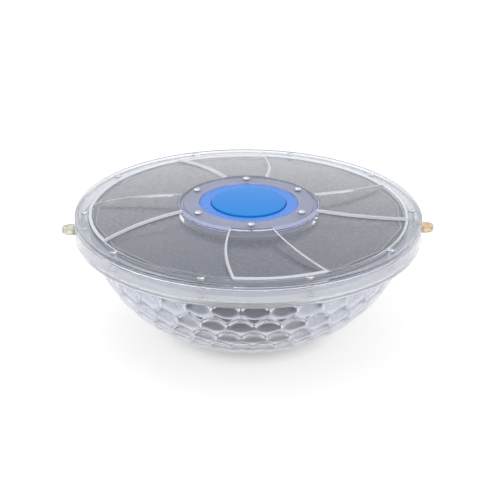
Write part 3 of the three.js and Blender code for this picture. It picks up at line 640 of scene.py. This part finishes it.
def cover_profile():
    """Points of the cover's section, in stretches, each as (r, level, share, below).

    A point's height is its level, or the petals' top face less below, mixed by share.
    """

    def level(corners):
        return [(r, z, 0, 0) for r, z in rounded(corners, closed=False)]

    hub_inner_r, plate_bottom = HUB_R - HUB_WALL, HUB_TOP - HUB_PLATE
    rim_inner_r, lip_bottom = RIM_R - RIM_WALL, RIM_TOP - LIP_THICK
    hub_wall = level(
        [
            (hub_inner_r, plate_bottom - 0.5),
            (hub_inner_r, HUB_WALL_BOTTOM),
            (HUB_R, HUB_WALL_BOTTOM),
            (HUB_R, HUB_WALL_BOTTOM + 3),
        ]
    )
    under = [(r, 0, 1, COVER_WALL) for r in np.linspace(HUB_R + 0.4, PANE_R - 1.4, 26)]
    rim = level(
        [
            (PANE_R - 0.4, lip_bottom - 0.7),
            (PANE_R + 1.4, lip_bottom),
            (rim_inner_r, lip_bottom),
            (rim_inner_r, SKIRT_BOTTOM),
            (RIM_R, SKIRT_BOTTOM),
            (RIM_R, RIM_TOP, 0.9),
            (PANE_R + 0.8, RIM_TOP),
        ]
    )
    rim_step = [(PANE_R + dr, RIM_TOP, share, 0) for dr, share in RIM_STEP]
    top = [(r, 0, 1, 0) for r in np.linspace(PANE_R - 1.6, HUB_R + 1.4, 40)]
    hub_step = [(HUB_R + dr, HUB_TOP, share, 0) for dr, share in HUB_STEP]
    hub = level(
        [
            (HUB_R - 0.6, HUB_TOP),
            (BUTTON_OPENING_R, HUB_TOP),
            (BUTTON_OPENING_R, plate_bottom),
            (hub_inner_r, plate_bottom, 0.8),
            (hub_inner_r, plate_bottom - 0.4),
        ]
    )
    return hub_wall, under, rim, rim_step, top, hub_step, hub


def cover():
    """The clear cover: one section turned round the axis, raised column by column at the petals."""
    hub_wall, under, rim, rim_step, top, hub_step, hub = cover_profile()
    profile = np.array(hub_wall + under + rim + rim_step + top + hub_step + hub[:-1], float)
    radii, level, share, below = profile.T
    columns = cover_columns(radii)
    vertices = []
    for angle, raised, _ in columns:
        surface = petal_top(radii) - PETAL_STEP * (1 - raised) - below
        height = level * (1 - share) + surface * share
        vertices.append(np.stack([radii * np.cos(angle), radii * np.sin(angle), height], -1))
    vertices = np.concatenate(vertices)
    faces = grid_faces(len(columns), len(profile), True)

    raised = np.array([column[1] for column in columns])
    seam = np.array([column[2] for column in columns])
    on_seam = (seam | np.roll(seam, -1)) & ((raised > 0.1) | (np.roll(raised, -1) > 0.1))
    first_rim = len(hub_wall + under)
    first_top = first_rim + len(rim)
    first_hub = first_top + len(rim_step + top)
    last_step = first_hub + len(hub_step) - 1
    plain, edge, hazy, rim_face = range(4)
    finishes = np.full((len(columns), len(profile)), plain)
    # The hub's walls and its steps in the recesses take the painted violet light.
    finishes[:, : len(hub_wall)] = hazy
    finishes[:, len(profile) - len(hub) // 2 :] = hazy
    finishes[:, first_rim:first_top] = rim_face
    # Seam faces and the rim step's faces take the painted highlight.
    finishes[on_seam, first_top : first_hub - 1] = edge
    finishes[:, first_hub - 1 : last_step] = np.where(raised < 0.9, hazy, plain)[:, None]
    finishes[:, first_top - 1 : first_top + len(rim_step)] = edge
    thing = weighted(make_object("cover_shell", vertices, faces, finishes=finishes))
    materials = (COVER_CLEAR, EDGE_PAINTED_HIGHLIGHT, HUB_HAZE_PAINTED_LIGHT, RIM_CLEAR)
    return finished(thing, materials, "root", "clear_plastic", "top_cover")


# ---------- Rim ----------


def rim_peg(index, x, y):
    """A clear peg: its rod stands in the trough and its rounded head lies on the rim."""
    rod_top = RIM_TOP - LIP_THICK - PEG_GAP
    foot = COLLAR_FLOOR + PEG_GAP
    outline = [(0, foot), (PEG_R, foot), (PEG_R, rod_top), (0, rod_top)]
    rod = lathe("peg_rod", rounded(outline, closed=False), 32, closed=False)
    dome = [(PEG_HEAD_R * share, RIM_TOP + height) for share, height in PEG_HEAD]
    head = lathe("peg_head", dome, 32, closed=False)
    name = "rim_peg_%02d" % index
    merged = join(rod, head, name + "_clear")
    merged.data.transform(Matrix.Translation((x * MM, y * MM, 0)))
    return finished(merged, PEG_CLEAR, "root", "clear_plastic", name)


def join(first, second, name):
    """One object from two, which are used up."""
    work = bmesh.new()
    work.from_mesh(first.data)
    work.from_mesh(second.data)
    mesh = bpy.data.meshes.new(name)
    work.to_mesh(mesh)
    work.free()
    bpy.data.objects.remove(first)
    bpy.data.objects.remove(second)
    mesh.shade_smooth()
    thing = bpy.data.objects.new(name, mesh)
    bpy.context.scene.collection.objects.link(thing)
    return weighted(thing)


def rope_eye(side, material, slot):
    """A flat tab with a rounded tip and a rope hole. Its faces turn over in soft fillets."""
    node = "rope_eye_right" if side > 0 else "rope_eye_left"
    bottom, top = low(node).z, high(node).z
    count = 64
    turn = np.arange(count) * TAU / count
    around = np.stack([np.cos(turn), np.sin(turn)], -1)
    hole = EYE_HOLE_R * around
    outline = EYE_TIP_R * around
    behind = outline[:, 0] < 0
    reach = (EYE_CENTRE - EYE_ROOT_R) / np.maximum(-around[:, 0], 1e-6)
    square = np.minimum(reach, EYE_TIP_R / np.maximum(np.abs(around[:, 1]), 1e-6))
    outline[behind] = (around * square[:, None])[behind]
    fillet = [
        (EYE_FILLET * (1 - math.sin(a)), bottom + EYE_FILLET * (1 - math.cos(a)))
        for a in np.linspace(0, math.pi / 2, 5)
    ]
    profile = fillet + [(inset, bottom + top - z) for inset, z in fillet[::-1]]
    rows = [np.column_stack([outline * (1 - d / EYE_TIP_R), np.full(count, z)]) for d, z in profile]
    rows += [
        np.column_stack([hole * (1 + d / EYE_HOLE_R), np.full(count, z)]) for d, z in profile[::-1]
    ]
    vertices = np.stack(rows, 1).reshape(-1, 3)
    vertices[:, 0] = np.maximum(vertices[:, 0] + EYE_CENTRE, EYE_ROOT_R)
    vertices[:, :2] *= side
    faces = grid_faces(count, len(rows), True)
    thing = weighted(make_object(node + "_tab", vertices, faces))
    return finished(thing, material, "root", slot, node)


# ---------- Hub ----------


def hub_screw(index, x, y):
    """A pan-head screw with a cross recess."""
    node = "hub_screw_%d" % index
    tip, head_bottom = low(node).z, HUB_TOP + 0.05
    rise = high(node).z - head_bottom
    dome = [
        (SCREW_HEAD_R * math.sin(a), head_bottom + rise * (0.35 + 0.65 * math.cos(a)))
        for a in np.linspace(0, math.pi / 2, 22)
    ]
    sides = [(SCREW_HEAD_R, head_bottom + 0.1), (SCREW_HEAD_R - 0.1, head_bottom)]
    shank = [(SCREW_SHANK_R, head_bottom), (SCREW_SHANK_R, tip + SCREW_SHANK_R), (0, tip)]
    profile = np.array(dome + sides + shank)
    columns = 48
    angles = np.arange(columns) * TAU / columns
    r, z = profile.T
    px = r[None, :] * np.cos(angles)[:, None]
    py = r[None, :] * np.sin(angles)[:, None]
    pz = np.broadcast_to(z, px.shape).copy()
    on_head = np.arange(len(profile)) < len(dome)
    arm = np.minimum(np.abs(px), np.abs(py))
    reach = np.maximum(np.abs(px), np.abs(py))
    recess = smooth_step((RECESS_ARM - arm) / 0.25) * smooth_step((RECESS_REACH - reach) / 0.3)
    pz = np.where(on_head[None, :], pz - RECESS_DEPTH * recess, pz)
    vertices = np.stack([px, py, pz], -1).reshape(-1, 3)
    faces = grid_faces(columns, len(profile), False)
    thing = weighted(make_object(node + "_steel", vertices, faces))
    spin = Matrix.Rotation(math.radians(FIRST_SPIN + SPIN_STEP * index), 4, "Z")
    thing.data.transform(Matrix.Translation((x * MM, y * MM, 0)) @ spin)
    return finished(thing, STEEL, "root", "steel", node)


def boot():
    """The soft ring round the cap, with the flange that the hub plate holds down."""
    bottom, flange_r = low("button_boot").z, high("button_boot").x
    ring = turned(
        "boot_ring",
        [
            (BOOT_BORE_R, BOOT_TOP - 2, 0.3),
            (BOOT_WALL_R, BOOT_TOP - 2, 0.3),
            (BOOT_WALL_R, bottom, 0.3),
            (flange_r, bottom, 0.3),
            (flange_r, BOOT_FLANGE_TOP, 0.3),
            (BOOT_R, BOOT_FLANGE_TOP, 0.2),
            (BOOT_R, BOOT_TOP, 0.6),
            (BOOT_BORE_R, BOOT_TOP, 0.5),
        ],
    )
    return finished(ring, BOOT_BLUE, "root", "blue_silicone", "button_boot")


def cap():
    """The crowned disc that is pressed, hollow below, with a lip and a boss for its stem."""
    bottom, top = low("button_cap").z, high("button_cap").z
    crown = [
        (r, top - CAP_CROWN * (r / CAP_CROWN_R) ** 2) for r in np.linspace(0, CAP_CROWN_R, 12)
    ]
    edge = rounded(
        [
            (CAP_CROWN_R, top - CAP_CROWN),
            (CAP_R, top - CAP_EDGE_DROP, 1.0),
            (CAP_R, CAP_LIP_TOP, 0.2),
            (CAP_LIP_R, CAP_LIP_TOP, 0.3),
            (CAP_LIP_R, bottom, 0.3),
            (CAP_HOLLOW_R, bottom, 0.3),
            (CAP_HOLLOW_R, CAP_HOLLOW_TOP, 0.6),
            (BOSS_R, CAP_HOLLOW_TOP, 0.4),
            (BOSS_R, BOSS_BOTTOM, 0.3),
            (BOSS_BORE_R, BOSS_BOTTOM, 0.2),
            (BOSS_BORE_R, BOSS_BORE_TOP, 0.2),
            (0, BOSS_BORE_TOP),
        ],
        closed=False,
    )
    disc = lathe("cap_disc", crown + edge[1:], closed=False)
    return finished(disc, CAP_BLUE, "button", "blue_plastic", "button_cap")


# ---------- Solar panel and tray ----------


def ring_of(name, radii, inner_heights, outer_heights, radius):
    """A ring whose section has four corners, given by its heights at the two radii."""
    inner, outer = radii
    return turned(
        name,
        [
            (inner, inner_heights[0]),
            (outer, outer_heights[0]),
            (outer, outer_heights[1]),
            (inner, inner_heights[1]),
        ],
        radius,
        PANEL_COLUMNS,
    )


def with_corners(thing):
    """Pushes the outer part of a ring out to a polygon that touches the ring's circle."""
    side = TAU / PANEL_SIDES
    for vertex in thing.data.vertices:
        x, y, _ = vertex.co
        if math.hypot(x, y) > CORNERS_BEYOND * MM:
            from_middle = (math.atan2(y, x) - math.radians(PANEL_TURN)) % side - side / 2
            vertex.co.x = x / math.cos(from_middle)
            vertex.co.y = y / math.cos(from_middle)
    return thing


def panel():
    """The conical film with the light bezel round it."""
    bottom, top = heights("solar_panel")
    inner, outer = (top - PANEL_EDGE_THICK, top), (bottom, bottom + PANEL_EDGE_THICK)
    film = with_corners(ring_of("solar_film", PANEL_R, inner, outer, 0.15))
    finished(film, SOLAR_FILM, "root", "solar_film", "solar_panel")
    levels = heights("panel_bezel")
    bezel = with_corners(ring_of("bezel_ring", BEZEL_R, levels, levels, 0.3))
    finished(bezel, BEZEL, "root", "bezel_plastic", "panel_bezel")


def tray():
    """The dark cone that carries the panel, with a stepped rim that lies over the seal wall."""
    bottom, top = heights("panel_tray")
    disc = turned(
        "tray_disc",
        [
            (TRAY_BORE_R, top - TRAY_BORE_THICK),
            (TRAY_CONE_R, bottom),
            (TRAY_R, bottom),
            (TRAY_R, bottom + TRAY_RIM_THICK),
            (TRAY_STEP_R[1], bottom + TRAY_RIM_THICK),
            (TRAY_STEP_R[0], TRAY_STEP_TOP),
            (TRAY_BORE_R, top),
        ],
        0.3,
        PANEL_COLUMNS,
    )
    return finished(disc, TRAY, "root", "tray_plastic", "panel_tray")


def gasket():
    levels = heights("rim_gasket")
    ring = ring_of("gasket_ring", GASKET_R, levels, levels, 0.7)
    return finished(ring, GASKET_RUBBER, "root", "dark_rubber", "rim_gasket")


# ---------- Return spring ----------


def spring():
    """A wire spring with closed ends, built at the length of its CAD node."""
    node = "return_spring"
    bottom, top = heights(node)
    per_turn, section = 40, 12
    count = int(SPRING_TURNS * per_turn)
    places = np.linspace(0, 1, count + 1)
    closed = SPRING_CLOSED / SPRING_TURNS
    opened = np.clip((places - closed) / (1 - 2 * closed), 0, 1)
    share = smooth_step(opened) * SPRING_EASE + opened * (1 - SPRING_EASE)
    lift = 2 * WIRE_R * np.minimum(places / closed, 1) * SPRING_CLOSED
    drop = 2 * WIRE_R * np.minimum((1 - places) / closed, 1) * SPRING_CLOSED
    lowest, highest = bottom + WIRE_R, top - WIRE_R
    turn = TAU * SPRING_TURNS * places
    radial = np.stack([np.cos(turn), np.sin(turn), np.zeros_like(turn)], -1)
    centre = radial * (high(node).x - WIRE_R)
    centre[:, 2] = lowest + lift + (highest - lowest - lift - drop) * share
    rings = []
    for angle in np.arange(section) * TAU / section:
        offset = radial * WIRE_R * math.cos(angle)
        offset[:, 2] += WIRE_R * math.sin(angle)
        rings.append(centre + offset)
    vertices = np.stack(rings, 1).reshape(-1, 3)
    faces = [
        (i * section + j, (i + 1) * section + j, (i + 1) * section + k, i * section + k)
        for i in range(count)
        for j, k in ((j, (j + 1) % section) for j in range(section))
    ]
    faces += [tuple(range(section)), tuple(count * section + j for j in range(section))]
    thing = make_object("spring_wire", vertices, faces)
    finished(thing, STEEL, "root", "steel", node)
    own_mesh(thing)


# ---------- Lens ----------


def lens():
    """The frosted dome below the LEDs, with its flange, its seal and the LED board's wall."""
    bottom, top = heights("pod_lens")
    flange_bottom, flange_top = LENS_FLANGE
    inner, outer = LENS_WALL_R
    pod_r, dome_r = high("pod_lens").x, inner + LENS_WALL
    depth = flange_bottom - bottom
    angles = np.linspace(0, math.pi / 2, 24)
    outside = [(dome_r * math.sin(a), flange_bottom - depth * math.cos(a)) for a in angles]
    inside = [
        (inner * math.sin(a), flange_bottom + LENS_WALL - depth * math.cos(a))
        for a in angles[::-1]
    ]
    flange = rounded(
        [
            outside[-1],
            (pod_r, flange_bottom),
            (pod_r, flange_top),
            (outer, flange_top),
            (outer, top),
            (inner, top),
            inside[0],
        ],
        closed=False,
    )
    dome = lathe("lens_dome", outside + flange[1:-1] + inside, closed=False)
    finished(dome, FROSTED, "root", "frosted_plastic", "pod_lens")
    levels = heights("lens_seal")
    seal_r = (outer + LENS_SEAL_GAP, high("lens_seal").x)
    seal = ring_of("lens_seal_ring", seal_r, levels, levels, 0.6)
    finished(seal, WHITE_RUBBER, "root", "white_rubber", "lens_seal")


# ---------- Pieces that keep their CAD shape ----------

CARRIED = [
    (WHITE_PLASTIC, ["button_stem", "button_guide", "switch_plunger"]),
    # The pod's dark violet is painted shade and light.
    (POD_PAINTED_SHADE, ["pod_housing"]),
    (BOARD_GREEN, ["led_board", "control_board"]),
    (BLACK_PLASTIC, ["control_chip", "tact_switch", "battery_holder"]),
    (STEEL, ["battery_contact_front", "battery_contact_rear"]),
    (STEEL, ["board_screw_%d" % i for i in range(1, 5)]),
    (LED_PHOSPHOR, ["led_%d" % i for i in range(1, 7)]),
    (CELL_WRAP, ["battery_cell_%d" % i for i in range(1, 4)]),
    (RED_LEAD, ["panel_lead_red", "led_lead_red", "battery_lead_red"]),
    (BLACK_LEAD, ["panel_lead_black", "led_lead_black", "battery_lead_black"]),
]


def carry_over():
    """Gives the pieces that keep their CAD shape their materials."""
    for material, names in CARRIED:
        for name in names:
            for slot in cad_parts[name].material_slots:
                slot.material = material


# ---------- Stage ----------

CAMERA_AZIMUTH = -2.62
CAMERA_ELEVATION = 23.12
CAMERA_DISTANCE = 1540.0
CAMERA_LENS = 137.4
CAMERA_ROLL = 0.7
AIM_DOWN = 30.7
AIM_RIGHT = 1.5
# The floor's painted glow: its strength, and the distances from the middle, in millimetres, where it
# starts and where it is full.
PAINTED_GLOW = 0.73
PAINTED_GLOW_START = 20.0
PAINTED_GLOW_FULL = 80.0
FLOOR_HALF = 9000


def camera():
    """A long-lens view from just left of the front, aimed below the middle of the rim's plane."""
    data = bpy.data.cameras.new("camera")
    data.lens = CAMERA_LENS
    data.sensor_width = 36
    data.clip_end = 100
    thing = bpy.data.objects.new("camera", data)
    bpy.context.scene.collection.objects.link(thing)
    azimuth, elevation = math.radians(CAMERA_AZIMUTH), math.radians(CAMERA_ELEVATION)
    back = Vector(
        (
            math.sin(azimuth) * math.cos(elevation),
            -math.cos(azimuth) * math.cos(elevation),
            math.sin(elevation),
        )
    )
    target = Vector((0, 0, RIM_TOP * MM))
    thing.location = target + back * CAMERA_DISTANCE * MM
    right = Vector((0, 0, 1)).cross(back).normalized()
    up = back.cross(right)
    aim = target - up * AIM_DOWN * MM + right * AIM_RIGHT * MM
    view = (aim - thing.location).to_track_quat("-Z", "Y")
    roll = Matrix.Rotation(math.radians(CAMERA_ROLL), 4, "Z").to_quaternion()
    thing.rotation_mode = "QUATERNION"
    thing.rotation_quaternion = view @ roll
    bpy.context.scene.camera = thing


def soft_light(name, place, size, power):
    """A round lamp that faces the middle of the foot, with its place and size in metres."""
    data = bpy.data.lights.new(name, "AREA")
    data.shape = "DISK"
    data.size = size
    data.energy = power
    thing = bpy.data.objects.new(name, data)
    bpy.context.scene.collection.objects.link(thing)
    thing.location = place
    thing.rotation_mode = "QUATERNION"
    thing.rotation_quaternion = (-Vector(place)).to_track_quat("-Z", "Y")


def painted_floor_glow(nodes, links):
    """Painted glow of the floor. It fades out beneath the light and leaves painted shade there, so
    that the bowl keeps its own shade.
    """
    length = nodes.new("ShaderNodeVectorMath")
    length.operation = "LENGTH"
    links.new(texture_place(nodes), length.inputs[0])
    fade = nodes.new("ShaderNodeMapRange")
    fade.interpolation_type = "SMOOTHSTEP"
    fade.inputs["From Min"].default_value = PAINTED_GLOW_START * MM
    fade.inputs["From Max"].default_value = PAINTED_GLOW_FULL * MM
    fade.inputs["To Min"].default_value = 0.0
    fade.inputs["To Max"].default_value = PAINTED_GLOW
    links.new(length.outputs["Value"], fade.inputs["Value"])
    return fade.outputs["Result"]


def stage():
    """Floor with a painted glow and painted shade beneath the light, studio light and the scene's view
    settings.
    """
    corners = [(-1, -1, 0), (1, -1, 0), (1, 1, 0), (-1, 1, 0)]
    floor = make_object("floor", FLOOR_HALF * np.array(corners), [(0, 1, 2, 3)])
    material, nodes, links, shader = new_material("pale_floor_painted_glow")
    shader.inputs["Roughness"].default_value = 0.9
    shader.inputs["Specular IOR Level"].default_value = 0.1
    shade = noise(nodes, links, scale=3, detail=2)
    links.new(
        blend_colour(nodes, links, shade, (0.37, 0.37, 0.38), (0.39, 0.39, 0.39)),
        shader.inputs["Base Color"],
    )
    shader.inputs["Emission Color"].default_value = (1, 1, 1, 1)
    # Painted glow, faded out beneath the light into painted shade.
    links.new(painted_floor_glow(nodes, links), shader.inputs["Emission Strength"])
    floor.data.materials.append(material)
    world = bpy.data.worlds.new("studio")
    bpy.context.scene.world = world
    world.use_nodes = True
    background = world.node_tree.nodes["Background"]
    background.inputs["Color"].default_value = (1, 1, 1, 1)
    background.inputs["Strength"].default_value = 1.0
    soft_light("key", place=(-0.5, 0.4, 1.6), size=1.2, power=5)
    soft_light("fill", place=(1.2, -1.0, 1.4), size=1.0, power=2)
    scene = bpy.context.scene
    scene.view_settings.view_transform = "Standard"
    scene.cycles.max_bounces = 32
    scene.cycles.transmission_bounces = 32
    scene.cycles.glossy_bounces = 16


# ---------- Assembly ----------

bowl()
cover()
for number, (peg_x, peg_y) in enumerate(on_circle(PEG_COUNT, PEG_CIRCLE_R), 1):
    rim_peg(number, peg_x, peg_y)
rope_eye(1, AMBER_CLEAR, "amber_clear_plastic")
rope_eye(-1, PALE_CLEAR, "pale_clear_plastic")
for number, (screw_x, screw_y) in enumerate(
    on_circle(SCREW_COUNT, SCREW_CIRCLE_R, SCREW_START), 1
):
    hub_screw(number, screw_x, screw_y)
boot()
cap()
panel()
tray()
gasket()
spring()
lens()
carry_over()
stage()
camera()
